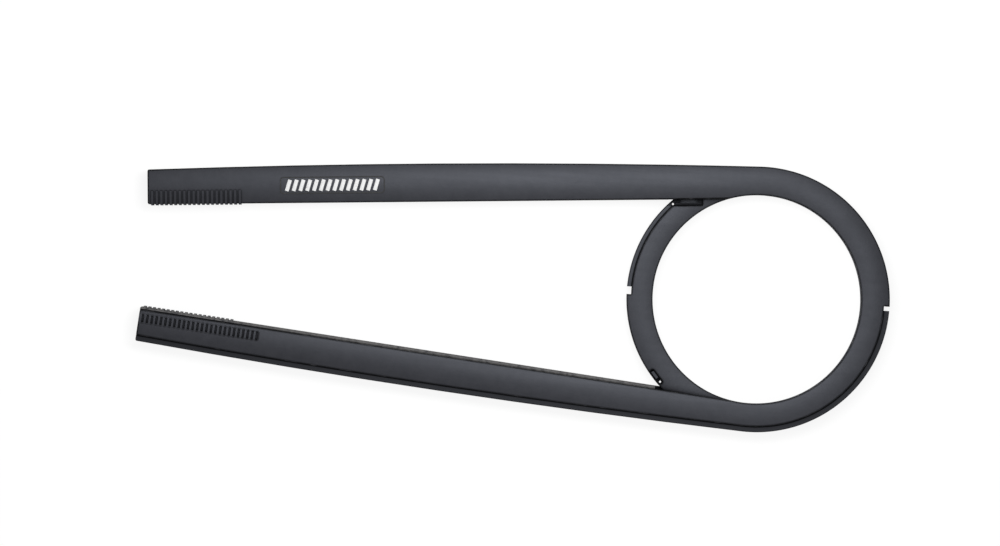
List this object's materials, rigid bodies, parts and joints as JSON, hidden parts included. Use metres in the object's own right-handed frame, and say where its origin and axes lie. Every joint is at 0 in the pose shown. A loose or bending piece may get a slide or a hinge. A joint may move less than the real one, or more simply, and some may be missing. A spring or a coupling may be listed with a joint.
{
  "type": "chain case",
  "caption": "Front section of an enclosing bicycle chain case: a hollow ring round the chainring with two tapering hollow arms, closed by interlocking half shells.",
  "frame": {"origin": "on the crank axis, at the mid plane of the chain", "axes": "+X along the case towards its closed front, +Y to the upper arm, +Z out of the outer face along the crank axis"},
  "size_m": [0.4876, 0.1728, 0.0212],
  "materials": {
    "shell": "fine grained satin"
  },
  "bodies": {
    "root": {"outer_half_shell": "shell", "inner_half_shell": "shell"}
  },
  "joints": []
}
